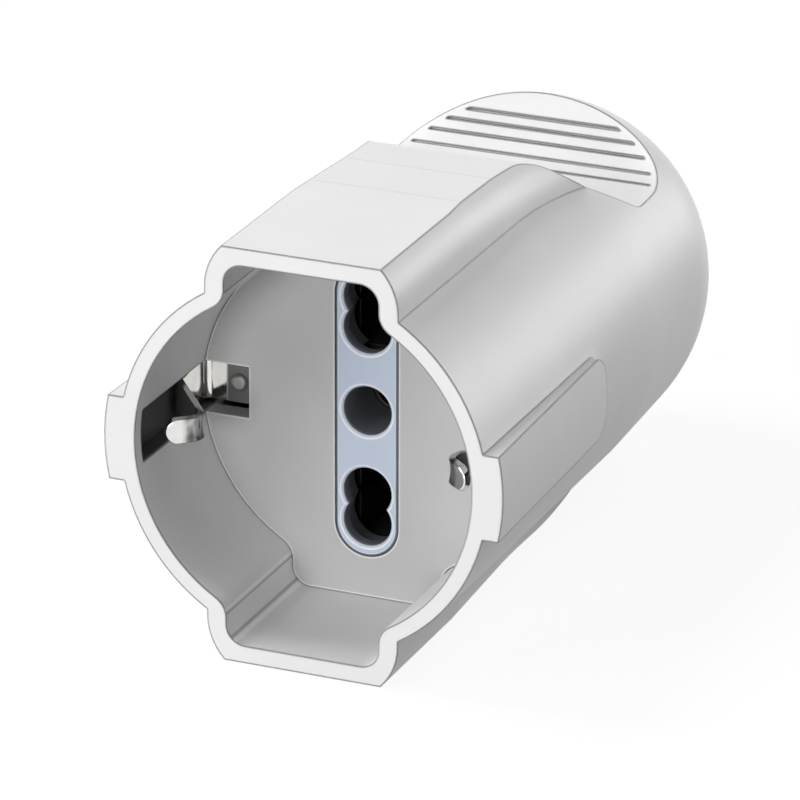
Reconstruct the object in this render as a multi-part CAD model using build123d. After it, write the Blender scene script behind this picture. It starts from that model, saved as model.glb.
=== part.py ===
from build123d import *
import math
import os

# Inline socket connector for a cord end. Sizes are millimetres.
# X is to the right seen from the mouth, Y runs from the mouth into the body, Z is up.
# The origin is the centre of the earth pin hole, on the face that a plug lands on.

# Recess and pin pattern, as the plugs need them
recess_radius = 19.5
recess_depth = 17.5
recess_lobe_half_width = 8.9
recess_lobe_rise = 2.3
recess_lobe_corner = 2.2
recess_lobe_blend = 2.5
small_pin_offset = 9.5
large_pin_offset = 13.0
pin_hole_radius = 2.85

# Sleeve: barrel, tail and walls
recess_wall = 1.85
barrel_end = 31.1
barrel_taper = 2.1
dome_start = 47.0
dome_slope = 34.7
tail_end = 69.5
tail_chamfer = 1.0
shell_wall = 2.5
tail_wall = 2.5
inlet_radius = 4.75
inlet_collar_wall = 1.6
inlet_collar_length = 3.5

# Lobes along the top and the bottom of the sleeve
lobe_wall = 2.0
lobe_side_wall = 2.25
lobe_side_height = 8.8
lobe_side_bend_start = 14.0
lobe_side_bend_radius = 100.0
lobe_shoulder_radius = 7.0
lobe_shoulder_rise = 2.1
lobe_shoulder_fall_start = 1.0
lobe_shoulder_fall_angle = 3.6
lobe_fall_start = 5.0
lobe_fall_bend = 14.0
lobe_fall_drop = 0.4
crest_drop = 0.97
crest_round = 13.0
lobe_hollow_end = 15.0

# Thumb groove behind each lobe, with its grip lines
ramp_angle = 31.9
ramp_foot_y = 38.4
groove_floor = 13.0
groove_flat = 4.6
groove_wall_radius = 9.0
groove_ramp_round = 4.0
grip_foot_height = 0.25
grip_first_height = 0.9
grip_height_step = 1.13
grip_lines = 4
grip_width = 0.3
grip_depth = 0.45
grip_edge_margin = 0.7

# Side tabs
tab_rise_front = 1.75
tab_rise_back = 0.95
tab_end = 14.5
tab_half_height = 4.85
tab_corner = 2.0

# Face plate and insert
plate_thickness = 2.6
plate_clearance = 0.1
seat_ledge = 0.65
plate_boss_radius = 2.3
plate_boss_end = 12.0
plate_screw_inset = 2.95
insert_side_margin = 0.85
insert_end_margin = 1.15
insert_clearance = 0.08
insert_edge_break = 0.2
hole_chamfer = 0.25
insert_face = 1.8
insert_flange = 1.0
insert_flange_gap = 0.6
insert_pocket_widening = 0.4
insert_tube_wall = 0.95
insert_tube_end = 8.0

# Side earth contacts
clip_thickness = 0.8
clip_width = 5.0
clip_nose_width = 3.8
clip_foot_length = 7.2
clip_wall_gap = 0.1
clip_knee_y = -4.8
clip_nose_reach = 5.1
clip_nose_from_mouth = 6.3
clip_tip_reach = 1.9
clip_tip_from_mouth = 3.6
clip_bend = 1.3
clip_tip_round = 1.7
clip_side_clearance = 0.5
clip_slot_from_mouth = 1.6
clip_slot_depth = 1.8
floor_slot_length = 5.55
rivet_inset = 3.3
rivet_head_radius = 0.95
rivet_head_height = 0.6
rivet_head_chamfer = 0.25
rivet_radius = 0.55
rivet_tail_radius = 0.85
rivet_tail_height = 0.5

# Earth strap and centre earth contact
strap_thickness = 0.8
strap_width = 4.4
strap_end_margin = 1.2
strap_ring_width = 2.0
strap_tail_inset = 1.8
strap_tail_width = 4.0
socket_inner_radius = 2.5
socket_wall = 0.7
socket_end = 19.0
socket_gap = 0.2
socket_arm_width = 3.0
socket_foot_inset = 1.0
socket_slit_start = 11.0
socket_slit_width = 0.6

# Line contacts
contact_thickness = 0.6
contact_mouth = 5.0
contact_mouth_x = 3.1
contact_grip_x = 2.0
contact_grip_y = 8.5
contact_shoulder_x = 3.0
contact_shoulder_y = 13.0
contact_bend = 0.8
contact_end_margin = 3.0
contact_slit = 0.7
contact_slit_end = 17.0
contact_tail_thickness = 0.8
contact_tail_width = 4.0
contact_tail_end = 30.5

# Carrier: contact tower, base disc, rails and cord saddle
base_front = 20.0
base_thickness = 3.0
base_clearance = 0.35
tower_wall = 1.8
tower_end_wall = 1.0
chamber_clearance = 0.4
centre_block_tail_gap = 1.7
centre_block_half_height = 5.0
pillar_radius = 3.0
rail_inset = 5.6
rail_width = 2.0
rail_top = 3.0
rail_bottom = -9.0
rail_length_past_clamp = 5.0
saddle_start_before_screw = 6.5
saddle_thickness = 3.6
saddle_tooth_half_width = 5.0
saddle_tooth_height = 1.8
saddle_tooth_thickness = 0.8
saddle_tooth_gap = 1.6
driver_hole_radius = 2.7

# Terminals and their screws
terminal_wall = 1.2
terminal_screw_wall = 2.2
terminal_tunnel = 4.6
terminal_length = 8.0
line_terminal_z = 8.6
terminal_screw_radius = 1.5
terminal_screw_reach = 1.6
terminal_screw_gap = 1.6
terminal_head_radius = 2.4
terminal_head_height = 1.8
slot_width = 0.7
slot_depth = 0.8

# Other fasteners and the cord clamp
hole_clearance = 0.05
slide_clearance = 0.2
plate_screw_radius = 1.25
plate_screw_reach = 6.0
plate_head_radius = 2.3
plate_head_height = 1.7
clamp_from_retaining_screw = 3.5
clamp_end_margin = 2.6
clamp_boss_radius = 2.4
clamp_seat_z = 1.5
clamp_bar_gap = 1.7
clamp_bar_width = 5.2
clamp_bar_thickness = 2.8
clamp_cord_radius = 4.2
clamp_arch_wall = 2.4
clamp_screw_radius = 1.3
clamp_screw_reach = 5.0
clamp_head_radius = 2.3
clamp_head_height = 1.7
retaining_screw_from_ramp = 2.1
retaining_screw_radius = 1.5
retaining_head_radius = 2.7
retaining_head_height = 1.8
retaining_cross_length = 3.8
retaining_cross_depth = 1.15
retaining_boss_radius = 4.6
retaining_screw_tip = 1.0
nut_width = 5.5
nut_thickness = 2.2

# Places that follow from the sizes above
mouth = -recess_depth
recess_lobe_reach = recess_radius + recess_lobe_rise
barrel_radius = recess_radius + recess_wall
lobe_reach = recess_lobe_reach + lobe_wall
lobe_root = lobe_reach - lobe_side_height
lobe_half_width = recess_lobe_half_width + lobe_side_wall
ramp_slope = math.tan(math.radians(ramp_angle))
crest_y = ramp_foot_y - (lobe_reach - crest_drop - groove_floor) / ramp_slope
groove_wall_start = ramp_foot_y + groove_flat
overshoot = 5.0
plate_back = plate_thickness
strap_front = plate_back + clip_thickness
strap_back = strap_front + strap_thickness
base_back = base_front + base_thickness
base_radius = barrel_radius - shell_wall - base_clearance
plate_screw_x = (base_radius - plate_screw_inset) / math.sqrt(2)
plate_screw_z = plate_screw_x
rail_inner = base_radius - rail_inset
strap_tail_x = rail_inner - strap_tail_inset
centre_block_half_width = strap_tail_x - strap_thickness / 2 - centre_block_tail_gap
socket_foot_end = centre_block_half_width - socket_foot_inset
socket_front = insert_tube_end + socket_gap
insert_tube_radius = pin_hole_radius + insert_tube_wall
socket_outer_radius = socket_inner_radius + socket_wall
socket_arm_inner = insert_tube_radius + slide_clearance
socket_arm_outer = socket_arm_inner + strap_thickness
socket_disc_radius = math.hypot(socket_arm_outer, socket_arm_width / 2)
strap_ring_radius = insert_tube_radius + slide_clearance + strap_ring_width
insert_flange_start = strap_ring_radius + insert_flange_gap
contact_low = small_pin_offset - pin_hole_radius
contact_high = large_pin_offset + contact_end_margin
terminal_y = base_back + terminal_length / 2
terminal_half_height = terminal_tunnel / 2 + terminal_wall
insert_half_width = pin_hole_radius + insert_side_margin
insert_reach = large_pin_offset + pin_hole_radius + insert_end_margin
clip_corner_x = recess_radius - clip_wall_gap
clip_nose_y = mouth + clip_nose_from_mouth
clip_tip_y = mouth + clip_tip_from_mouth
clip_slot_start = mouth + clip_slot_from_mouth
clip_slot_half_width = clip_width / 2 + clip_side_clearance
floor_slot_start = recess_radius - floor_slot_length
rivet_x = recess_radius - rivet_inset
strap_half_length = rivet_x + strap_end_margin
saddle_top = rail_bottom + saddle_thickness
retaining_y = ramp_foot_y + retaining_screw_from_ramp
saddle_start = retaining_y - saddle_start_before_screw
clamp_y = retaining_y + clamp_from_retaining_screw
rail_end = clamp_y + rail_length_past_clamp
clamp_bar_length = 2 * (rail_inner - clamp_bar_gap)
clamp_screw_x = clamp_bar_length / 2 - clamp_end_margin


def along_y(section, front, back):
    """Solid between two stations of Y, from a section drawn as (x, z)."""
    return extrude(Plane.XZ.offset(-back) * section, back - front, dir=(0, -1, 0))


def along_x(section, left, right):
    """Solid between two stations of X, from a side view drawn as (y, z)."""
    return extrude(Plane.YZ.offset(left) * section, right - left, dir=(1, 0, 0))


def along_z(section, bottom, top):
    """Solid between two heights, from a plan drawn as (x, y)."""
    return extrude(Plane.XY.offset(bottom) * section, top - bottom, dir=(0, 0, 1))


def rod_y(radius, front, back, x=0, z=0):
    return along_y(Pos(x, z) * Circle(radius), front, back)


def rod_x(radius, left, right, y, z):
    return along_x(Pos(y, z) * Circle(radius), left, right)


def rod_z(radius, bottom, top, x, y):
    return along_z(Pos(x, y) * Circle(radius), bottom, top)


def block(left, right, front, back, bottom, top):
    middle = Pos((left + right) / 2, (front + back) / 2, (bottom + top) / 2)
    return middle * Box(right - left, back - front, top - bottom)


def both_sides(solid):
    """A solid with its mirror image on the other side of X."""
    return solid + mirror(solid, about=Plane.YZ)


def top_and_bottom(solid):
    """A solid with its mirror image below the axis."""
    return solid + mirror(solid, about=Plane.XY)


def strip(points, bend, thickness):
    """Flat outline of a bent metal strip that follows the points."""
    middle = FilletPolyline(*points, radius=bend)
    return trace(middle, thickness)


def recess_section(inset=0):
    """Outline of the recess: a circle with a lobe above and below, as (x, z)."""
    half_width = recess_lobe_half_width - inset
    reach = recess_lobe_reach - inset
    outline = Circle(recess_radius - inset) + Rectangle(2 * half_width, 2 * reach)
    levels = outline.vertices().group_by(Axis.Y)
    outline = fillet(levels[0] + levels[-1], recess_lobe_corner - inset)
    junction_height = math.sqrt((recess_radius - inset) ** 2 - half_width**2)
    junctions = [v for v in outline.vertices() if abs(abs(v.Y) - junction_height) < 0.01]
    return fillet(junctions, recess_lobe_blend + inset)


def barrel(inset, front, back):
    """Turned body of the sleeve, moved inwards by the inset, up to a flat tail face."""
    taper = math.radians(barrel_taper)
    dome_edge = barrel_radius - (dome_start - barrel_end) * math.tan(taper)
    dome_centre = dome_start - dome_edge * math.tan(taper)
    dome_radius = dome_edge / math.cos(taper) - inset
    dome = CenterArc((0, dome_centre), dome_radius, barrel_taper, dome_slope - barrel_taper)
    straight = Line((barrel_radius - inset, front), (barrel_radius - inset, barrel_end))
    cone = Line(straight @ 1, dome @ 0)
    slope = dome % 1
    tail = dome @ 1 + slope * ((back - (dome @ 1).Y) / slope.Y)
    lines = [straight, cone, dome, Line(dome @ 1, tail)]
    lines += Polyline(tail, (0, back), (0, front), straight @ 0).edges()
    profile = make_face(lines)
    if inset == 0:
        rim = profile.vertices().group_by(Axis.Y)[-1].sort_by(Axis.X)[-1]
        profile = chamfer(rim, tail_chamfer)
    return revolve(profile, Axis.Y)


def ramp_height(y):
    """Height of the ramp behind the crest."""
    return groove_floor + (ramp_foot_y - y) * ramp_slope


def groove_space(inset):
    """What the thumb groove takes away above the sleeve, moved inwards by the inset."""
    top = lobe_reach + overshoot
    floor = groove_floor - inset
    shift = inset / math.cos(math.radians(ramp_angle))
    ramp_top = ramp_foot_y + (groove_floor - shift - top) / ramp_slope
    ramp_foot = ramp_foot_y + (groove_floor - shift - floor) / ramp_slope
    centre = (groove_wall_start, groove_floor + groove_wall_radius)
    wall = CenterArc(centre, groove_wall_radius + inset, 270, 90)
    outline = Polyline(wall @ 1, ((wall @ 1).X, top), (ramp_top, top), (ramp_foot, floor), wall @ 0)
    profile = make_face(outline.edges() + wall.edges())
    foot = profile.vertices().sort_by_distance((ramp_foot, floor, 0))[0]
    profile = fillet(foot, groove_ramp_round)
    reach = barrel_radius + overshoot
    return top_and_bottom(along_x(profile, -reach, reach))


def grip_line_space():
    """Thin slits across the rear wall of both grooves, short of the barrel's skin."""
    centre = Pos(groove_wall_start, groove_floor + groove_wall_radius)
    slits = Sketch()
    heights = [grip_first_height + number * grip_height_step for number in range(grip_lines)]
    for height in [grip_foot_height, *heights]:
        turn = math.degrees(math.acos(1 - height / groove_wall_radius)) - 90
        slit = Pos(groove_wall_radius, 0) * Rectangle(2 * grip_depth, grip_width)
        slits += centre * Rot(Z=turn) * slit
    across = along_x(slits, -barrel_radius, barrel_radius)
    inner = barrel(grip_edge_margin, groove_wall_start, tail_end)
    return top_and_bottom(across & inner)


def lobe_plan():
    """Outline of the upper lobe from above, straight at first and then bent outwards, as (x, y)."""
    side = Line((lobe_half_width, mouth), (lobe_half_width, lobe_side_bend_start))
    turn = math.degrees(math.asin((ramp_foot_y - lobe_side_bend_start) / lobe_side_bend_radius))
    bend = JernArc(side @ 1, (0, 1), lobe_side_bend_radius, -turn)
    outline = Polyline(bend @ 1, (0, (bend @ 1).Y), (0, mouth), side @ 0)
    right = make_face([side, bend, *outline.edges()])
    return right + mirror(right, about=Plane.YZ)


def lobe_shoulders():
    """Upper lobe with its long shoulder rounds, before its top and ramp are cut."""
    top = lobe_reach + lobe_shoulder_rise
    fall = (ramp_foot_y - lobe_shoulder_fall_start) * math.tan(math.radians(lobe_shoulder_fall_angle))
    side = Polygon(
        (mouth, lobe_root),
        (mouth, top),
        (lobe_shoulder_fall_start, top),
        (ramp_foot_y, top - fall),
        (ramp_foot_y, lobe_root),
        align=None,
    )
    lobe = along_z(lobe_plan(), lobe_root, top) & along_x(side, -barrel_radius, barrel_radius)
    shoulders = [edge for edge in lobe.edges() if edge.center().Z > lobe_root + lobe_shoulder_radius]
    shoulders = [edge for edge in shoulders if abs(edge.center().X) > lobe_half_width / 2]
    return fillet(shoulders, lobe_shoulder_radius)


def outer_lobes():
    """Lobes on the outside, falling slightly to the crest of the ramp."""
    crest = (crest_y, ramp_height(crest_y))
    side = Polygon(
        (mouth, lobe_root),
        (mouth, lobe_reach),
        (lobe_fall_start, lobe_reach),
        (lobe_fall_bend, lobe_reach - lobe_fall_drop),
        crest,
        (ramp_foot_y, ramp_height(ramp_foot_y)),
        align=None,
    )
    side = fillet(side.vertices().sort_by_distance((*crest, 0))[0], crest_round)
    return top_and_bottom(lobe_shoulders() & along_x(side, -barrel_radius, barrel_radius))


def side_tabs():
    """Raised pad on each side, flush with the mouth and lower towards its rear end."""
    length = tab_end - mouth
    view = Pos((mouth + tab_end) / 2, 0) * Rectangle(length, 2 * tab_half_height)
    view = fillet(view.vertices().group_by(Axis.X)[-1], tab_corner)
    front = barrel_radius + tab_rise_front
    back = barrel_radius + tab_rise_back
    cone = Polygon((0, mouth), (front, mouth), (back, tab_end), (0, tab_end), align=None)
    return both_sides(along_x(view, recess_radius, front + overshoot) & revolve(cone, Axis.Y))


def clip_slots():
    """Slot in each side wall of the recess, hidden behind the tab."""
    slot = block(
        recess_radius - clip_slot_depth,
        recess_radius + clip_slot_depth,
        clip_slot_start,
        strap_back,
        -clip_slot_half_width,
        clip_slot_half_width,
    )
    return both_sides(slot)


def housing_sleeve():
    """One moulding: recess walls, lobes, tabs, thumb grooves, hollow body and cord inlet."""
    skin = barrel(0, mouth, tail_end) - groove_space(0)
    skin = skin + outer_lobes() + side_tabs()
    hollow_front = along_y(recess_section(seat_ledge), plate_back, lobe_hollow_end)
    hollow = barrel(shell_wall, plate_back, tail_end - tail_wall) - groove_space(shell_wall)
    recess = along_y(recess_section(), mouth - overshoot, plate_back)
    sleeve = skin - (hollow + hollow_front + recess + clip_slots()) - grip_line_space()
    collar_radius = inlet_radius + inlet_collar_wall
    collar_front = tail_end - tail_wall - inlet_collar_length
    sleeve += rod_y(collar_radius, collar_front, tail_end - tail_wall)
    sleeve += rod_z(retaining_boss_radius, -groove_floor + shell_wall / 2, rail_bottom, 0, retaining_y)
    sleeve -= rod_y(inlet_radius, collar_front, tail_end)
    head = retaining_head_radius + slide_clearance
    shank = retaining_screw_radius + slide_clearance
    sleeve -= rod_z(head, -lobe_reach, -groove_floor + retaining_head_height, 0, retaining_y)
    sleeve -= rod_z(shank, -groove_floor, rail_bottom, 0, retaining_y)
    return sleeve


def plate_screw_places():
    return [(plate_screw_x, plate_screw_z), (-plate_screw_x, -plate_screw_z)]


def face_plate():
    """Floor of the recess, with a window for the insert and a slot for each side contact."""
    plate = along_y(recess_section(plate_clearance), 0, plate_back)
    window = SlotOverall(2 * (insert_reach + insert_clearance), 2 * (insert_half_width + insert_clearance))
    plate -= along_y(Rot(Z=90) * window, 0, plate_back)
    half_width = clip_slot_half_width
    floor_slot = block(floor_slot_start, recess_radius, 0, plate_back, -half_width, half_width)
    plate -= both_sides(floor_slot)
    for x, z in plate_screw_places():
        plate += rod_y(plate_boss_radius, plate_back, plate_boss_end, x, z)
        plate -= rod_y(plate_screw_radius + hole_clearance, plate_screw_reach, plate_boss_end, x, z)
    return plate


def pin_pair_section(radius):
    """Figure-8 outline for either pin spacing, above and below, as (x, z)."""
    section = Sketch()
    for offset in (small_pin_offset, large_pin_offset, -small_pin_offset, -large_pin_offset):
        section += Pos(0, offset) * Circle(radius)
    return section


def pin_hole_mouth():
    """Chamfer at the front of one pin hole."""
    wide = pin_hole_radius + hole_chamfer
    outline = Polygon((0, 0), (wide, 0), (pin_hole_radius, hole_chamfer), (0, hole_chamfer), align=None)
    return revolve(outline, Axis.Y)


def aperture_insert():
    """Insert with the earth pin tube and a thin face over the line contacts."""
    body = along_y(Rot(Z=90) * SlotOverall(2 * insert_reach, 2 * insert_half_width), 0, plate_back)
    flange_outline = SlotOverall(2 * (insert_reach + insert_flange), 2 * (insert_half_width + insert_flange))
    flange = along_y(Rot(Z=90) * flange_outline, plate_back, strap_back)
    middle = insert_half_width + insert_flange
    flange -= block(-middle, middle, plate_back, strap_back, -insert_flange_start, insert_flange_start)
    body = chamfer(body.edges().group_by(Axis.Y)[0], insert_edge_break)
    insert = body + flange + rod_y(insert_tube_radius, plate_back, insert_tube_end)
    insert -= along_y(pin_pair_section(pin_hole_radius), 0, insert_face)
    for offset in (0, small_pin_offset, large_pin_offset, -small_pin_offset, -large_pin_offset):
        insert -= Pos(0, 0, offset) * pin_hole_mouth()
    insert -= along_y(pin_pair_section(pin_hole_radius + insert_pocket_widening), insert_face, strap_back)
    insert -= rod_y(pin_hole_radius, 0, insert_tube_end)
    return insert


def earth_clip():
    """Right side contact: foot under the face plate, leaf along the wall, nose and rounded tip."""
    foot_y = plate_back + clip_thickness / 2
    points = [
        (clip_corner_x - clip_foot_length, foot_y),
        (clip_corner_x, foot_y),
        (clip_corner_x, clip_knee_y),
        (recess_radius - clip_nose_reach, clip_nose_y),
        (recess_radius - clip_tip_reach, clip_tip_y),
    ]
    leaf = along_z(strip(points, clip_bend, clip_thickness), -clip_width / 2, clip_width / 2)
    front = clip_tip_y - clip_thickness / 2
    root = clip_width / 2
    nose = clip_nose_width / 2
    view = Polygon(
        (strap_front, root),
        (clip_knee_y, root),
        (front, nose),
        (front, -nose),
        (clip_knee_y, -root),
        (strap_front, -root),
        align=None,
    )
    view = fillet(view.vertices().group_by(Axis.X)[0], clip_tip_round)
    leaf = leaf & along_x(view, 0, barrel_radius)
    return leaf - rod_y(rivet_radius + hole_clearance, 0, strap_back, rivet_x)


def clip_rivet():
    """Right rivet that joins the clip's foot to the strap."""
    rivet = rod_y(rivet_head_radius, plate_back - rivet_head_height, plate_back, rivet_x)
    rivet = chamfer(rivet.edges().sort_by(Axis.Y)[0], rivet_head_chamfer)
    rivet += rod_y(rivet_radius, plate_back, strap_back, rivet_x)
    return rivet + rod_y(rivet_tail_radius, strap_back, strap_back + rivet_tail_height, rivet_x)


def earth_strap():
    """Strap across the body with a ring round the insert's tube and a tail to the earth terminal."""
    flat = Rectangle(2 * strap_half_length, strap_width) + Circle(strap_ring_radius)
    flat -= Circle(insert_tube_radius + slide_clearance)
    for side in (-1, 1):
        flat -= Pos(side * rivet_x, 0) * Circle(rivet_radius + hole_clearance)
    strap = along_y(flat, strap_front, strap_back)
    half = strap_thickness / 2
    tail = block(
        -strap_tail_x - half,
        -strap_tail_x + half,
        strap_front,
        contact_tail_end,
        -strap_tail_width / 2,
        strap_tail_width / 2,
    )
    return strap + tail


def earth_socket_contact():
    """Rolled tube with four fingers, carried by two arms on the back of the strap."""
    disc = rod_y(socket_disc_radius, socket_front, socket_front + strap_thickness)
    contact = disc + rod_y(socket_outer_radius, socket_front, socket_end)
    half = strap_thickness / 2
    half_width = socket_arm_width / 2
    inner = socket_arm_inner
    arm = block(inner, socket_arm_outer, strap_back, socket_front + half, -half_width, half_width)
    foot = block(inner, socket_foot_end, strap_back, strap_back + strap_thickness, -half_width, half_width)
    contact += both_sides(arm + foot)
    contact -= rod_y(socket_inner_radius, socket_front, socket_end)
    reach = socket_outer_radius
    half_slit = socket_slit_width / 2
    slit = block(-reach, reach, socket_slit_start, socket_end, -half_slit, half_slit)
    return contact - slit - Rot(Y=90) * slit


def line_contact():
    """Upper line contact: two pairs of leaves in one folded strip, with a tail to its terminal."""
    web_y = base_front - contact_thickness / 2
    leaf = [
        (contact_mouth_x, contact_mouth),
        (contact_grip_x + contact_thickness / 2, contact_grip_y),
        (contact_shoulder_x, contact_shoulder_y),
        (contact_shoulder_x, web_y),
    ]
    mirrored = [(-x, y) for x, y in reversed(leaf)]
    folded = along_z(strip(leaf + mirrored, contact_bend, contact_thickness), contact_low, contact_high)
    reach = contact_shoulder_x + contact_thickness
    middle = (small_pin_offset + large_pin_offset) / 2
    low = middle - contact_slit / 2
    high = middle + contact_slit / 2
    folded -= block(-reach, reach, contact_mouth - contact_thickness, contact_slit_end, low, high)
    half = contact_tail_thickness / 2
    half_width = contact_tail_width / 2
    tail = block(
        -half, half, web_y, contact_tail_end, line_terminal_z - half_width, line_terminal_z + half_width
    )
    return folded + tail


def chamber_space():
    """Chamber of the upper line contact, open towards the face plate."""
    reach = contact_shoulder_x + contact_thickness / 2 + chamber_clearance
    low = contact_low - chamber_clearance
    high = contact_high + chamber_clearance
    return block(-reach, reach, strap_back, base_front, low, high)


def tail_slots():
    """Slots through the base disc for the three tails."""
    half = contact_tail_thickness / 2 + slide_clearance
    half_width = contact_tail_width / 2 + slide_clearance
    bottom = line_terminal_z - half_width
    line = block(-half, half, base_front, base_back, bottom, bottom + 2 * half_width)
    left = -strap_tail_x - strap_thickness / 2 - slide_clearance
    right = -strap_tail_x + strap_thickness / 2 + slide_clearance
    half_width = strap_tail_width / 2 + slide_clearance
    return top_and_bottom(line) + block(left, right, base_front, base_back, -half_width, half_width)


def contact_carrier():
    """Insulating core: contact tower, base disc, pillars, rails and the cord saddle."""
    chamber = chamber_space().bounding_box()
    tower_x = chamber.max.X + tower_wall
    tower_z = chamber.max.Z + tower_end_wall
    carrier = block(-tower_x, tower_x, strap_back, base_front, -tower_z, tower_z)
    half_width = centre_block_half_width
    half_height = centre_block_half_height
    carrier += block(-half_width, half_width, strap_back, base_front, -half_height, half_height)
    carrier += rod_y(base_radius, base_front, base_back)
    for x, z in plate_screw_places():
        carrier += rod_y(pillar_radius, plate_boss_end, base_front, x, z)
    rail = block(rail_inner, rail_inner + rail_width, base_back, rail_end, rail_bottom, rail_top)
    carrier += both_sides(rail)
    carrier += block(-rail_inner, rail_inner, saddle_start, rail_end, rail_bottom, saddle_top)
    for side in (-1, 1):
        carrier += rod_z(clamp_boss_radius, saddle_top, clamp_seat_z, side * clamp_screw_x, clamp_y)
        tooth_front = clamp_y + side * saddle_tooth_gap - saddle_tooth_thickness / 2
        carrier += block(
            -saddle_tooth_half_width,
            saddle_tooth_half_width,
            tooth_front,
            tooth_front + saddle_tooth_thickness,
            saddle_top,
            saddle_top + saddle_tooth_height,
        )
    return carrier - carrier_hollows()


def carrier_hollows():
    """Chambers, centre bore, tail slots, screw holes and the nut pocket of the carrier."""
    hollows = top_and_bottom(chamber_space()) + tail_slots()
    hollows += rod_y(socket_disc_radius + slide_clearance, strap_back, socket_front + strap_thickness)
    hollows += rod_y(socket_outer_radius + chamber_clearance, socket_front, base_front)
    foot_x = socket_foot_end + slide_clearance
    foot_z = socket_arm_width / 2 + slide_clearance
    hollows += block(-foot_x, foot_x, strap_back, strap_back + strap_thickness, -foot_z, foot_z)
    for x, z in plate_screw_places():
        hollows += rod_y(plate_screw_radius + slide_clearance, plate_boss_end, base_back, x, z)
        hollows += rod_y(plate_head_radius + slide_clearance, base_back - plate_head_height, base_back, x, z)
    for side in (-1, 1):
        bottom = clamp_seat_z - clamp_screw_reach
        hollows += rod_z(
            clamp_screw_radius + hole_clearance, bottom, clamp_seat_z, side * clamp_screw_x, clamp_y
        )
    half_nut = nut_width / 2 + hole_clearance
    nut_bottom = saddle_top - nut_thickness
    hollows += block(
        -half_nut, half_nut, retaining_y - half_nut, retaining_y + half_nut, nut_bottom, saddle_top
    )
    hollows += rod_z(retaining_screw_radius + slide_clearance, rail_bottom, saddle_top, 0, retaining_y)
    for z in (0, -line_terminal_z):
        hollows += rod_x(driver_hole_radius, rail_inner, rail_inner + rail_width, terminal_y, z)
    return hollows


def terminal(tail_x, z):
    """Brass tunnel terminal round a tail that lies on the tunnel's left wall."""
    left = tail_x - contact_tail_thickness / 2
    right = left + terminal_tunnel
    body = block(
        left - terminal_wall,
        right + terminal_screw_wall,
        base_back,
        base_back + terminal_length,
        z - terminal_half_height,
        z + terminal_half_height,
    )
    half = terminal_tunnel / 2
    body -= block(left, right, base_back, base_back + terminal_length, z - half, z + half)
    hole_radius = terminal_screw_radius + hole_clearance
    return body - rod_x(hole_radius, right, right + terminal_screw_wall, terminal_y, z)


def terminal_screw(tail_x, z):
    """Slotted screw of a terminal, driven from the right."""
    right = tail_x - contact_tail_thickness / 2 + terminal_tunnel
    head_left = right + terminal_screw_wall + terminal_screw_gap
    screw = rod_x(terminal_screw_radius, right - terminal_screw_reach, head_left, terminal_y, z)
    head_right = head_left + terminal_head_height
    screw += rod_x(terminal_head_radius, head_left, head_right, terminal_y, z)
    half = slot_width / 2
    slot = block(
        head_right - slot_depth,
        head_right,
        terminal_y - terminal_head_radius,
        terminal_y + terminal_head_radius,
        z - half,
        z + half,
    )
    return screw - slot


def plate_screws():
    """Two screws from the base disc into the bosses of the face plate."""
    screws = []
    for x, z in plate_screw_places():
        head_front = base_back - plate_head_height
        screw = rod_y(plate_screw_radius, plate_screw_reach, head_front, x, z)
        screw += rod_y(plate_head_radius, head_front, base_back, x, z)
        half = slot_width / 2
        radius = plate_head_radius
        slot = block(x - radius, x + radius, base_back - slot_depth, base_back, z - half, z + half)
        screws.append(screw - slot)
    return Compound(screws)


def cord_clamp_bar():
    """Bar over the cord, arched in the middle, seated on the two bosses."""
    flat = Rectangle(clamp_bar_length, clamp_bar_thickness)
    outline = Pos(0, clamp_seat_z + clamp_bar_thickness / 2) * flat
    arch_radius = clamp_cord_radius + clamp_arch_wall
    below = Pos(0, clamp_seat_z - arch_radius) * Rectangle(2 * arch_radius, 2 * arch_radius)
    outline += Circle(arch_radius) - below
    outline -= Circle(clamp_cord_radius)
    bar = along_y(outline, clamp_y - clamp_bar_width / 2, clamp_y + clamp_bar_width / 2)
    for side in (-1, 1):
        top = clamp_seat_z + clamp_bar_thickness
        bar -= rod_z(clamp_screw_radius + slide_clearance, clamp_seat_z, top, side * clamp_screw_x, clamp_y)
    return bar


def cord_clamp_screws():
    """Two screws that press the bar onto its bosses."""
    screws = []
    for side in (-1, 1):
        x = side * clamp_screw_x
        seat = clamp_seat_z + clamp_bar_thickness
        screw = rod_z(clamp_screw_radius, clamp_seat_z - clamp_screw_reach, seat, x, clamp_y)
        top = seat + clamp_head_height
        screw += rod_z(clamp_head_radius, seat, top, x, clamp_y)
        half = slot_width / 2
        radius = clamp_head_radius
        slot = block(x - radius, x + radius, clamp_y - half, clamp_y + half, top - slot_depth, top)
        screws.append(screw - slot)
    return Compound(screws)


def retaining_screw():
    """Screw from the lower thumb groove through the sleeve into the nut."""
    head_top = -groove_floor + retaining_head_height
    tip = saddle_top + retaining_screw_tip
    screw = rod_z(retaining_head_radius, -groove_floor, head_top, 0, retaining_y)
    screw += rod_z(retaining_screw_radius, head_top, tip, 0, retaining_y)
    cross = Rectangle(retaining_cross_length, slot_width) + Rectangle(slot_width, retaining_cross_length)
    return screw - along_z(Pos(0, retaining_y) * cross, -groove_floor, -groove_floor + retaining_cross_depth)


def retaining_nut():
    """Square nut, captive in the saddle."""
    flat = Rectangle(nut_width, nut_width) - Circle(retaining_screw_radius + hole_clearance)
    return along_z(Pos(0, retaining_y) * flat, saddle_top - nut_thickness, saddle_top)


def mirrored_x(solid):
    return mirror(solid, about=Plane.YZ)


def mirrored_z(solid):
    return mirror(solid, about=Plane.XY)


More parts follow.
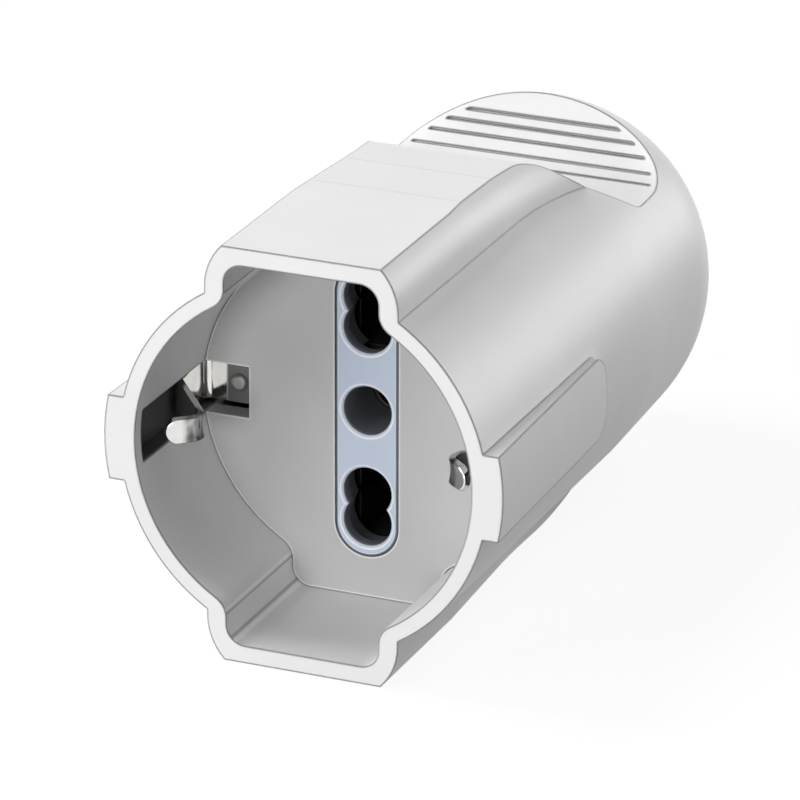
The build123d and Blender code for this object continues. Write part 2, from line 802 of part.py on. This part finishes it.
def all_parts():
    """Every piece of the connector, by its node name."""
    return {
        "housing_sleeve": housing_sleeve(),
        "face_plate": face_plate(),
        "aperture_insert": aperture_insert(),
        "right_earth_clip": earth_clip(),
        "left_earth_clip": mirrored_x(earth_clip()),
        "right_clip_rivet": clip_rivet(),
        "left_clip_rivet": mirrored_x(clip_rivet()),
        "earth_strap": earth_strap(),
        "earth_socket_contact": earth_socket_contact(),
        "live_contact": line_contact(),
        "neutral_contact": mirrored_z(line_contact()),
        "contact_carrier": contact_carrier(),
        "live_terminal": terminal(0, line_terminal_z),
        "neutral_terminal": terminal(0, -line_terminal_z),
        "earth_terminal": terminal(-strap_tail_x, 0),
        "live_terminal_screw": terminal_screw(0, line_terminal_z),
        "neutral_terminal_screw": terminal_screw(0, -line_terminal_z),
        "earth_terminal_screw": terminal_screw(-strap_tail_x, 0),
        "plate_screws": plate_screws(),
        "cord_clamp_bar": cord_clamp_bar(),
        "cord_clamp_screws": cord_clamp_screws(),
        "retaining_screw": retaining_screw(),
        "retaining_nut": retaining_nut(),
    }


os.makedirs("parts", exist_ok=True)
for name, solid in all_parts().items():
    export_step(solid, f"parts/{name}.step")
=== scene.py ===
import math

import bmesh
import bpy
from mathutils import Matrix, Vector


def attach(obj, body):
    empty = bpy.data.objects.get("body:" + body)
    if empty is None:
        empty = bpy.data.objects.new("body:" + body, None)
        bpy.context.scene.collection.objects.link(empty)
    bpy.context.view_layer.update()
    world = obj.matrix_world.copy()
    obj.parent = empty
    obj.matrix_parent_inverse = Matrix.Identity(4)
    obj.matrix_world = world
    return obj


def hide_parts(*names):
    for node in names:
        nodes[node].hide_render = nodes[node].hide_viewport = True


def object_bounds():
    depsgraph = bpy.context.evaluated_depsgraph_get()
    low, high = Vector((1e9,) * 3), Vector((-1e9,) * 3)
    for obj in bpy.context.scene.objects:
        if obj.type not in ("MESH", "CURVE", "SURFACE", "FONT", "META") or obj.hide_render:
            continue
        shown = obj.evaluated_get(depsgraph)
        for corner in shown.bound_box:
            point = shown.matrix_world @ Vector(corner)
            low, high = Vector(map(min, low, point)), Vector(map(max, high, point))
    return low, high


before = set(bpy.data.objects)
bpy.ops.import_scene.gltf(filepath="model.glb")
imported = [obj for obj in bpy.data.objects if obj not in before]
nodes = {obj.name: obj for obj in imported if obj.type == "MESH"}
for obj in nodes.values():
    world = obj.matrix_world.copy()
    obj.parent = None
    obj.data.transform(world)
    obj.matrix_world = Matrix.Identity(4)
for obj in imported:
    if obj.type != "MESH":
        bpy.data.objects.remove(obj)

cad_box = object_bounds()
scene = bpy.context.scene
scene.view_settings.view_transform = "Standard"


# Camera.
# The connector is seen from its mouth, from the right and a little above, through a long lens.
# The lens is shifted a little, so that the connector stands in the frame as a catalogue picture has it.
camera_turn = 23.341
camera_height = 21.865
camera_distance = 0.7
camera_lens = 291.03
camera_shift = (0.0417, 0.0146)


def outward(turn, height):
    """Direction turned from the front towards the right and raised, by angles in degrees."""
    turn = math.radians(turn)
    height = math.radians(height)
    return Vector((math.sin(turn) * math.cos(height), -math.cos(turn) * math.cos(height), math.sin(height)))


back = outward(camera_turn, camera_height)
right = outward(camera_turn + 90.0, 0.0)
up = back.cross(right)
camera = bpy.data.objects.new("camera", bpy.data.cameras.new("camera"))
facing = Matrix((right, up, back)).transposed().to_4x4()
camera.matrix_world = Matrix.Translation(back * camera_distance) @ facing
camera.data.sensor_width = 36.0
camera.data.lens = camera_lens
camera.data.shift_x, camera.data.shift_y = camera_shift
camera.data.clip_start = 0.05
scene.collection.objects.link(camera)
scene.camera = camera


# Studio.
# A white sheet under the connector, and six round soft lights: the strongest stand in front, on the left and
# behind on the right. The surroundings are white to the eye and in reflections.
lit_middle = Vector((0.0, 0.02, 0.0))
light_distance = 0.9
light_size = 0.4
ambient_strength = 0.03
paper_shade = (0.12, 0.12, 0.12, 1.0)
paper_glow = 0.9
sheet_reach = 4.0
sheet_gap = 0.0001


def soft_light(name, turn, height, power):
    """Round soft light that points at the middle of the connector."""
    away = outward(turn, height)
    lamp = bpy.data.lights.new(name, "AREA")
    lamp.shape = "DISK"
    lamp.size = light_size
    lamp.energy = power
    holder = bpy.data.objects.new(name, lamp)
    holder.location = lit_middle + away * light_distance
    holder.rotation_euler = away.to_track_quat("Z", "Y").to_euler()
    scene.collection.objects.link(holder)


soft_light("light_left_high", -90.0, 55.0, 4.9)
soft_light("light_left_low", -60.0, 5.0, 3.4)
soft_light("light_front", 0.0, 5.0, 5.6)
soft_light("light_front_high", -30.0, 30.0, 2.0)
soft_light("light_back_right", 150.0, 5.0, 4.7)
soft_light("light_right_high", 90.0, 55.0, 1.8)


def worked_out(tree, operation, *values):
    """Result of a sum on one or two values."""
    node = tree.nodes.new("ShaderNodeMath")
    node.operation = operation
    for value, socket in zip(values, node.inputs):
        tree.links.new(value, socket)
    return node.outputs[0]


def seen_directly(tree):
    """One where a ray comes from the camera, a mirror or a clear piece, and zero for light on things."""
    path = tree.nodes.new("ShaderNodeLightPath")
    seen = worked_out(tree, "MAXIMUM", path.outputs["Is Camera Ray"], path.outputs["Is Glossy Ray"])
    return worked_out(tree, "MAXIMUM", seen, path.outputs["Is Transmission Ray"])


def chosen(tree, output_kind, lighting, looks):
    """Gives the output one shader for the light on things and another for what is seen directly."""
    output = tree.nodes.new(output_kind)
    choice = tree.nodes.new("ShaderNodeMixShader")
    tree.links.new(seen_directly(tree), choice.inputs["Fac"])
    tree.links.new(lighting, choice.inputs[1])
    tree.links.new(looks, choice.inputs[2])
    tree.links.new(choice.outputs[0], output.inputs["Surface"])


world = bpy.data.worlds.new("white_studio")
world.use_nodes = True
tree = world.node_tree
tree.nodes.clear()
ambient = tree.nodes.new("ShaderNodeBackground")
ambient.inputs["Color"].default_value = (1.0, 1.0, 1.0, 1.0)
ambient.inputs["Strength"].default_value = ambient_strength
white = tree.nodes.new("ShaderNodeBackground")
white.inputs["Color"].default_value = (1.0, 1.0, 1.0, 1.0)
white.inputs["Strength"].default_value = 1.0
chosen(tree, "ShaderNodeOutputWorld", ambient.outputs[0], white.outputs[0])
scene.world = world

sheet_material = bpy.data.materials.new("white_sheet")
sheet_material.use_nodes = True
tree = sheet_material.node_tree
tree.nodes.clear()
paper = tree.nodes.new("ShaderNodeBsdfDiffuse")
paper.inputs["Color"].default_value = paper_shade
glow = tree.nodes.new("ShaderNodeEmission")
glow.inputs["Strength"].default_value = paper_glow
both = tree.nodes.new("ShaderNodeAddShader")
tree.links.new(paper.outputs[0], both.inputs[0])
tree.links.new(glow.outputs[0], both.inputs[1])
chosen(tree, "ShaderNodeOutputMaterial", paper.outputs[0], both.outputs[0])
shape = bmesh.new()
bmesh.ops.create_grid(shape, x_segments=1, y_segments=1, size=sheet_reach)
bmesh.ops.translate(shape, verts=shape.verts, vec=(0.0, 0.0, cad_box[0][2] - sheet_gap))
mesh = bpy.data.meshes.new("white_sheet")
shape.to_mesh(mesh)
shape.free()
floor = bpy.data.objects.new("white_sheet", mesh)
mesh.materials.append(sheet_material)
scene.collection.objects.link(floor)


# Housing sleeve.
# One white moulding in a tough satin plastic. Its tool was finely blasted, so the skin has a very fine grain,
# and its edges are broken by a small radius. Dark lines of painted shade run along its edges and creases. The
# side channels inside are painted dark, as painted shade, since little light gets in. Thin lines painted
# across and along the lobes stand for the highlight and shade of small steps and beads.
noise_low = 0.3
noise_high = 0.7
cloud_lumps = 90.0
sheen_lumps = 700.0
skin_lumps = 5200.0
skin_depth = 0.000008
skin_strength = 0.1
skin_edge_samples = 6
edge_line_radius = 0.00035
edge_line_samples = 8
flat_likeness = 0.999
edge_likeness = 0.978
plastic_ior = 1.42
plastic_shine = 0.3

channel_inner = (0.0193, 0.0195)
channel_outer = (0.0215, 0.0214)
channel_half_height = (0.00305, 0.00301)
channel_front = (-0.01592, -0.0159)
channel_back = (0.0045, 0.0044)
channel_painted_shade = (0.12, 0.12, 0.125)

line_blur = 0.0001
step_fronts = (0.0048, 0.0138)
step_width = 0.0004
step_height = (0.020, 0.0201)
step_half_length = (0.0090, 0.0080)
step_painted_shade = (0.72, 0.72, 0.72)

bead_width = 0.00035
bead_heights_and_painted_tones = ((0.01785, 0.97), (0.01830, 0.5), (0.02090, 0.5), (0.02125, 0.97))
bead_inner = (0.0066, 0.0068)
bead_outer = (0.0097, 0.0096)
bead_front = (-0.01745, -0.0174)
bead_back = (0.0002, 0.0001)


def new_material(name):
    """Material with its node tree and its shader."""
    material = bpy.data.materials.new(name)
    material.use_nodes = True
    tree = material.node_tree
    return material, tree, tree.nodes["Principled BSDF"]


def grain(tree, scale, detail=2.0, stretch=(1.0, 1.0, 1.0)):
    """Noise on the piece's own coordinates, with the scale in lumps per metre."""
    place = tree.nodes.new("ShaderNodeTexCoord")
    turn = tree.nodes.new("ShaderNodeMapping")
    turn.inputs["Scale"].default_value = stretch
    noise = tree.nodes.new("ShaderNodeTexNoise")
    noise.inputs["Scale"].default_value = scale
    noise.inputs["Detail"].default_value = detail
    tree.links.new(place.outputs["Object"], turn.inputs["Vector"])
    tree.links.new(turn.outputs["Vector"], noise.inputs["Vector"])
    return noise.outputs["Fac"]


def spread_out(tree, value, from_low, from_high, to_low=0.0, to_high=1.0):
    """Takes a value from one range to another."""
    spread = tree.nodes.new("ShaderNodeMapRange")
    spread.inputs["From Min"].default_value = from_low
    spread.inputs["From Max"].default_value = from_high
    spread.inputs["To Min"].default_value = to_low
    spread.inputs["To Max"].default_value = to_high
    tree.links.new(value, spread.inputs["Value"])
    return spread.outputs["Result"]


def tinted(tree, value, dark, light):
    """Colour between two close tones, by a noise."""
    ramp = tree.nodes.new("ShaderNodeValToRGB")
    for stop, place, tone in zip(ramp.color_ramp.elements, (noise_low, noise_high), (dark, light)):
        stop.position = place
        stop.color = (*tone, 1.0)
    tree.links.new(value, ramp.inputs["Fac"])
    return ramp.outputs["Color"]


def rounded(tree, radius, samples):
    """Normal of the surface as if its edges had a radius."""
    rounding = tree.nodes.new("ShaderNodeBevel")
    rounding.samples = samples
    rounding.inputs["Radius"].default_value = radius
    return rounding.outputs["Normal"]


def relief(tree, value, depth, strength, edge):
    """Fine grain over edges that are rounded to the given radius."""
    bump = tree.nodes.new("ShaderNodeBump")
    bump.inputs["Distance"].default_value = depth
    bump.inputs["Strength"].default_value = strength
    tree.links.new(value, bump.inputs["Height"])
    tree.links.new(rounded(tree, edge, skin_edge_samples), bump.inputs["Normal"])
    return bump.outputs["Normal"]


def over(tree, amount, below, above):
    """Lays one colour over another by an amount."""
    mix = tree.nodes.new("ShaderNodeMixRGB")
    tree.links.new(amount, mix.inputs["Fac"])
    tree.links.new(below, mix.inputs["Color1"])
    mix.inputs["Color2"].default_value = (*above, 1.0)
    return mix.outputs["Color"]


def painted_edge_lines(tree, strength):
    """Rises to a strength close to every edge and corner, for the lines of painted shade or painted highlight
    there.
    """
    surface = tree.nodes.new("ShaderNodeNewGeometry")
    likeness = tree.nodes.new("ShaderNodeVectorMath")
    likeness.operation = "DOT_PRODUCT"
    tree.links.new(rounded(tree, edge_line_radius, edge_line_samples), likeness.inputs[0])
    tree.links.new(surface.outputs["Normal"], likeness.inputs[1])
    return spread_out(tree, likeness.outputs["Value"], flat_likeness, edge_likeness, 0.0, strength)


def on_axis(tree, axis, folded=False):
    """Place on an axis of the piece, or the distance from its middle when it is folded."""
    place = tree.nodes.new("ShaderNodeTexCoord")
    split = tree.nodes.new("ShaderNodeSeparateXYZ")
    tree.links.new(place.outputs["Object"], split.inputs[0])
    if folded:
        return worked_out(tree, "ABSOLUTE", split.outputs[axis])
    return split.outputs[axis]


def along(tree, axis, start, end, folded=False):
    """Rises from zero to one between two places on an axis, on both sides alike when it is folded."""
    return spread_out(tree, on_axis(tree, axis, folded), start, end)


def all_of(tree, *values):
    """Product of several values."""
    product = values[0]
    for value in values[1:]:
        product = worked_out(tree, "MULTIPLY", product, value)
    return product


def coloured_where(material, amount, colour):
    """Lays a colour over the one a material already has."""
    tree = material.node_tree
    target = tree.nodes["Principled BSDF"].inputs["Base Color"]
    below = target.links[0].from_socket
    tree.links.new(over(tree, amount, below, colour), target)


def moulded(name, dark, light, gloss, edge, edge_paint, edge_paint_strength):
    """Moulded plastic: slight clouding of the colour, edge lines painted in the given tone (painted shade
    where it is dark, painted highlight where it is light), a blasted grain and softened edges.
    """
    material, tree, shader = new_material(name)
    cloud = tinted(tree, grain(tree, cloud_lumps, 3.0), dark, light)
    tree.links.new(cloud, shader.inputs["Base Color"])
    coloured_where(material, painted_edge_lines(tree, edge_paint_strength), edge_paint)
    sheen = spread_out(tree, grain(tree, sheen_lumps), noise_low, noise_high, *gloss)
    tree.links.new(sheen, shader.inputs["Roughness"])
    skin = relief(tree, grain(tree, skin_lumps), skin_depth, skin_strength, edge)
    tree.links.new(skin, shader.inputs["Normal"])
    shader.inputs["IOR"].default_value = plastic_ior
    shader.inputs["Specular IOR Level"].default_value = plastic_shine
    return material


def finish_with(material, *names):
    """Gives nodes of the frame their finish."""
    for name in names:
        mesh = nodes[name].data
        mesh.materials.clear()
        mesh.materials.append(material)


# Its dark edge lines are painted shade along the edges and creases.
sleeve_plastic = moulded(
    "white_plastic",
    dark=(0.80, 0.80, 0.80),
    light=(0.83, 0.83, 0.83),
    gloss=(0.42, 0.44),
    edge=0.0002,
    edge_paint=(0.17, 0.17, 0.175),
    edge_paint_strength=0.8,
)
tree = sleeve_plastic.node_tree
# The side channels are painted dark: painted shade, as little light gets in there.
channel = all_of(
    tree,
    along(tree, "X", *channel_inner, folded=True),
    along(tree, "X", *channel_outer, folded=True),
    along(tree, "Z", *channel_half_height, folded=True),
    along(tree, "Y", *channel_front),
    along(tree, "Y", *channel_back),
)
coloured_where(sleeve_plastic, channel, channel_painted_shade)
# Two thin lines of painted shade run across the tops of the lobes.
for front in step_fronts:
    rear = front + step_width
    step = all_of(
        tree,
        along(tree, "Z", *step_height, folded=True),
        along(tree, "Y", front, front + line_blur),
        along(tree, "Y", rear, rear - line_blur),
        along(tree, "X", *step_half_length, folded=True),
    )
    coloured_where(sleeve_plastic, step, step_painted_shade)
# The lobes' beads are painted on, each as a line of painted highlight beside a line of painted shade.
for bottom, tone in bead_heights_and_painted_tones:
    top = bottom + bead_width
    painted_bead = all_of(
        tree,
        along(tree, "X", *bead_inner, folded=True),
        along(tree, "X", *bead_outer, folded=True),
        along(tree, "Z", bottom, bottom + line_blur, folded=True),
        along(tree, "Z", top, top - line_blur, folded=True),
        along(tree, "Y", *bead_front),
        along(tree, "Y", *bead_back),
    )
    coloured_where(sleeve_plastic, painted_bead, (tone, tone, tone))
finish_with(sleeve_plastic, "housing_sleeve")


# Face plate.
# The floor of the recess, a second moulding, pushed in from the front. Its colour is set much greyer than the
# sleeve's white as painted shade of the deep recess, and its light edge lines are painted highlight.
plate_plastic = moulded(
    "plate_plastic",
    dark=(0.44, 0.44, 0.438),
    light=(0.47, 0.47, 0.468),
    gloss=(0.4, 0.5),
    edge=0.00015,
    edge_paint=(0.74, 0.74, 0.74),
    edge_paint_strength=0.9,
)
finish_with(plate_plastic, "face_plate")


# Aperture insert.
# Grey-blue moulding with the pin holes, smooth and a little glossier, its hole edges slightly chamfered.
# Its hole walls are painted darker with depth, as painted shade, and a thin band of painted shade runs round
# the edge of its face. Its light edge lines are painted highlight.
hole_depth_shaded = (0.00015, 0.0009)
hole_painted_shade = (0.19, 0.205, 0.23)
insert_half_width = 0.0037
insert_end_centre = 0.0133
edge_band_width = 0.0003
edge_band_blur = 0.00005
edge_band_strength = 0.85
edge_band_painted_shade = (0.06, 0.075, 0.10)

insert_plastic = moulded(
    "insert_plastic",
    dark=(0.46, 0.52, 0.62),
    light=(0.50, 0.56, 0.66),
    gloss=(0.3, 0.4),
    edge=0.0002,
    edge_paint=(0.86, 0.89, 0.95),
    edge_paint_strength=1.0,
)
tree = insert_plastic.node_tree
# Painted shade, darker with depth inside the holes.
coloured_where(insert_plastic, along(tree, "Y", *hole_depth_shaded), hole_painted_shade)
past_end_centre = spread_out(
    tree,
    on_axis(tree, "Z", folded=True),
    insert_end_centre,
    insert_end_centre + insert_half_width,
    0.0,
    insert_half_width,
)
from_spine = tree.nodes.new("ShaderNodeCombineXYZ")
tree.links.new(on_axis(tree, "X"), from_spine.inputs["X"])
tree.links.new(past_end_centre, from_spine.inputs["Y"])
reach = tree.nodes.new("ShaderNodeVectorMath")
reach.operation = "LENGTH"
tree.links.new(from_spine.outputs[0], reach.inputs[0])
edge_band_inner = insert_half_width - edge_band_width
# A thin band of painted shade round the edge of the insert's face.
painted_edge_band = spread_out(
    tree, reach.outputs["Value"], edge_band_inner, edge_band_inner + edge_band_blur, 0.0, edge_band_strength
)
coloured_where(insert_plastic, painted_edge_band, edge_band_painted_shade)
finish_with(insert_plastic, "aperture_insert")


# Contact carrier and cord clamp bar.
# Black heat-proof mouldings inside, seen only through the pin holes and the cord inlet.
# Their slightly lighter edge lines are a faint painted highlight.
core_plastic = moulded(
    "core_plastic",
    dark=(0.020, 0.021, 0.023),
    light=(0.028, 0.029, 0.031),
    gloss=(0.5, 0.62),
    edge=0.0002,
    edge_paint=(0.06, 0.06, 0.065),
    edge_paint_strength=0.5,
)
finish_with(core_plastic, "contact_carrier", "cord_clamp_bar")


# Side earth contacts and their rivets.
# Strips of spring metal with a bright nickel plate, stamped with a round end and bent in a press. The leaf is
# slightly dished across its width. Rolling leaves faint lines along it, and a rivet holds its foot.
tarnish_lumps = 400.0
drawn_lines = 3000.0
line_depth = 0.000008
line_relief = 0.15

clip_thickness = 0.0008
clip_bend = 0.0013
clip_half_width = 0.0025
tongue_half_width = 0.00145
tongue_bluntness = 0.3
leaf_dish = 0.00022
stamped_radius = 0.00014
knee_y = -0.0048
nose_y = -0.0112
clip_route = [
    Vector((0.0122, 0.0030, 0.0)),
    Vector((0.0208, 0.0030, 0.0)),
    Vector((0.0202, knee_y, 0.0)),
    Vector((0.0144, nose_y, 0.0)),
    Vector((0.0176, -0.0139, 0.0)),
]
clip_columns = 16
straight_steps = 6
bend_steps = 10
tongue_steps = 2

foot_reach = (0.0179, 0.0176)
foot_front = (0.0, 0.001)
foot_painted_shade = (0.36, 0.36, 0.36)
reflection_patch_lumps = 900.0
reflection_patch_stretch = (1.0, 1.0, 0.5)
reflection_patch_range = (0.3, 1.0)
reflection_patch_reach = (0.0160, 0.0155)
reflection_patch_back = (-0.0096, -0.0102)
painted_reflection_tone = (0.07, 0.07, 0.07)


def metal(name, colour, worn, gloss, stretch, edge):
    """Metal with fine drawn lines, slightly duller where it is rubbed."""
    material, tree, shader = new_material(name)
    shader.inputs["Metallic"].default_value = 1.0
    tarnish = tinted(tree, grain(tree, tarnish_lumps, 3.0), worn, colour)
    tree.links.new(tarnish, shader.inputs["Base Color"])
    lines = grain(tree, drawn_lines, 2.0, stretch)
    sheen = spread_out(tree, lines, noise_low, noise_high, *gloss)
    tree.links.new(sheen, shader.inputs["Roughness"])
    tree.links.new(relief(tree, lines, line_depth, line_relief, edge), shader.inputs["Normal"])
    return material


def go_on(shape, row, way, length, steps):
    """Extrudes a row of edges straight on, in a few steps."""
    for step in range(steps):
        longer = bmesh.ops.extrude_edge_only(shape, edges=row)["geom"]
        row = [item for item in longer if isinstance(item, bmesh.types.BMEdge)]
        ends = [item for item in longer if isinstance(item, bmesh.types.BMVert)]
        bmesh.ops.translate(shape, verts=ends, vec=way * (length / steps))
    return row


def bend_round(shape, row, centre, angle):
    """Turns a row of edges round an upright line."""
    upright = (0.0, 0.0, 1.0)
    turned = bmesh.ops.spin(
        shape, geom=row, cent=centre, axis=upright, dvec=(0.0, 0.0, 0.0), angle=angle, steps=bend_steps
    )
    return [item for item in turned["geom_last"] if isinstance(item, bmesh.types.BMEdge)]


def share(value):
    """Holds a value between zero and one."""
    return min(max(value, 0.0), 1.0)


def swept_strip(shape):
    """Sweeps a straight edge along the contact's route, and gives back the way of its last stretch."""
    start = clip_route[0]
    ends = [shape.verts.new((start.x, start.y, z)) for z in (-clip_half_width, clip_half_width)]
    bmesh.ops.subdivide_edges(shape, edges=[shape.edges.new(ends)], cuts=clip_columns - 1)
    row = list(shape.edges)
    done = 0.0
    for before, corner, after in zip(clip_route, clip_route[1:], clip_route[2:]):
        way = (corner - before).normalized()
        onward = (after - corner).normalized()
        angle = math.atan2(way.cross(onward).z, way.dot(onward))
        cut_back = clip_bend * math.tan(abs(angle) / 2)
        row = go_on(shape, row, way, (corner - before).length - done - cut_back, straight_steps)
        inward = Vector((-way.y, way.x, 0.0)) * math.copysign(clip_bend, angle)
        row = bend_round(shape, row, corner - way * cut_back + inward, angle)
        done = cut_back
    last = (clip_route[-1] - clip_route[-2]).length - done
    row = go_on(shape, row, onward, last - tongue_half_width, straight_steps)
    go_on(shape, row, onward, tongue_half_width, tongue_steps)
    return onward


def contact_clip(name, side, material):
    """One contact strip, swept along its route, narrowed to a round tongue and dished."""
    shape = bmesh.new()
    onward = swept_strip(shape)
    bmesh.ops.remove_doubles(shape, verts=shape.verts, dist=1e-6)
    bmesh.ops.recalc_face_normals(shape, faces=shape.faces)
    shape.normal_update()
    normals = {vert: vert.normal.copy() for vert in shape.verts}
    for vert in shape.verts:
        across = vert.co.z / clip_half_width
        narrow = share((knee_y - vert.co.y) / (knee_y - nose_y))
        half = clip_half_width + (tongue_half_width - clip_half_width) * narrow
        past = tongue_half_width - (clip_route[-1] - vert.co).dot(onward)
        vert.co.z = across * half
        if vert.co.y < nose_y and past > 0.0:
            vert.co -= onward * past * (1.0 - max(math.sqrt(1.0 - across * across), tongue_bluntness))
        dish = leaf_dish * share(vert.co.y / nose_y)
        vert.co -= normals[vert] * dish * across * across
    if side < 0:
        bmesh.ops.scale(shape, verts=shape.verts, vec=(-1.0, 1.0, 1.0))
        bmesh.ops.recalc_face_normals(shape, faces=shape.faces)
    for face in shape.faces:
        face.smooth = True
    mesh = bpy.data.meshes.new(name)
    shape.to_mesh(mesh)
    shape.free()
    clip = bpy.data.objects.new(name, mesh)
    scene.collection.objects.link(clip)
    thick = clip.modifiers.new("sheet", "SOLIDIFY")
    thick.thickness = clip_thickness
    thick.offset = 0.0
    rounding = clip.modifiers.new("stamped_edge", "BEVEL")
    rounding.width = stamped_radius
    rounding.segments = 3
    rounding.limit_method = "ANGLE"
    rounding.angle_limit = math.radians(50.0)
    mesh.materials.append(material)
    return clip


nickel = metal(
    "nickel_plate",
    colour=(0.82, 0.81, 0.79),
    worn=(0.74, 0.73, 0.71),
    gloss=(0.06, 0.14),
    stretch=(1.0, 0.08, 1.0),
    edge=0.00015,
)
tree = nickel.node_tree
# The foot, down in its channel, is painted dark grey as painted shade, and made fully rough.
foot = all_of(tree, along(tree, "X", *foot_reach, folded=True), along(tree, "Y", *foot_front))
coloured_where(nickel, foot, foot_painted_shade)
# Near-black patches on the tongue past the nose are a painted dark reflection.
reflection_patch_noise = grain(tree, reflection_patch_lumps, 1.0, reflection_patch_stretch)
painted_reflection = all_of(
    tree,
    spread_out(tree, reflection_patch_noise, noise_low, noise_high, *reflection_patch_range),
    along(tree, "X", *reflection_patch_reach, folded=True),
    along(tree, "Y", *reflection_patch_back),
)
coloured_where(nickel, painted_reflection, painted_reflection_tone)
roughness = tree.nodes["Principled BSDF"].inputs["Roughness"]
rolled = roughness.links[0].from_socket
tree.links.new(worked_out(tree, "MAXIMUM", rolled, foot), roughness)
for side, label in ((1, "right"), (-1, "left")):
    clip = contact_clip(f"{label}_contact_strip", side, nickel)
    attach(clip, "root")
    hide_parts(f"{label}_earth_clip")

dull_nickel = metal(
    "dull_nickel",
    colour=(0.40, 0.40, 0.40),
    worn=(0.36, 0.36, 0.36),
    gloss=(0.5, 0.6),
    stretch=(1.0, 1.0, 1.0),
    edge=0.0002,
)
finish_with(dull_nickel, "right_clip_rivet", "left_clip_rivet")


# Contacts in the carrier.
# A slit tube for the earth pin and two folded strips for the line pins, stamped from bronze. They stand deep
# behind the pin holes, and their colour is set near black as painted shade of the holes.
bronze = metal(
    "dark_bronze",
    colour=(0.060, 0.052, 0.044),
    worn=(0.040, 0.035, 0.030),
    gloss=(0.35, 0.5),
    stretch=(1.0, 0.1, 1.0),
    edge=0.00015,
)
finish_with(bronze, "earth_socket_contact", "live_contact", "neutral_contact")


# Earth strap and terminals.
# The strap is stamped and the tunnel terminals are cut from brass bar, all dull from handling.
brass = metal(
    "brass",
    colour=(0.78, 0.60, 0.30),
    worn=(0.66, 0.50, 0.25),
    gloss=(0.22, 0.36),
    stretch=(1.0, 0.1, 1.0),
    edge=0.00015,
)
finish_with(brass, "earth_strap", "live_terminal", "neutral_terminal", "earth_terminal")


# Screws and nut.
# Zinc-plated steel, turned. The heads are slotted, and that of the retaining screw, which is seen in the
# lower thumb groove, has a cross.
steel = metal(
    "zinc_steel",
    colour=(0.62, 0.63, 0.64),
    worn=(0.52, 0.53, 0.54),
    gloss=(0.25, 0.4),
    stretch=(1.0, 1.0, 0.2),
    edge=0.00015,
)
finish_with(
    steel,
    "live_terminal_screw",
    "neutral_terminal_screw",
    "earth_terminal_screw",
    "plate_screws",
    "cord_clamp_screws",
    "retaining_screw",
    "retaining_nut",
)
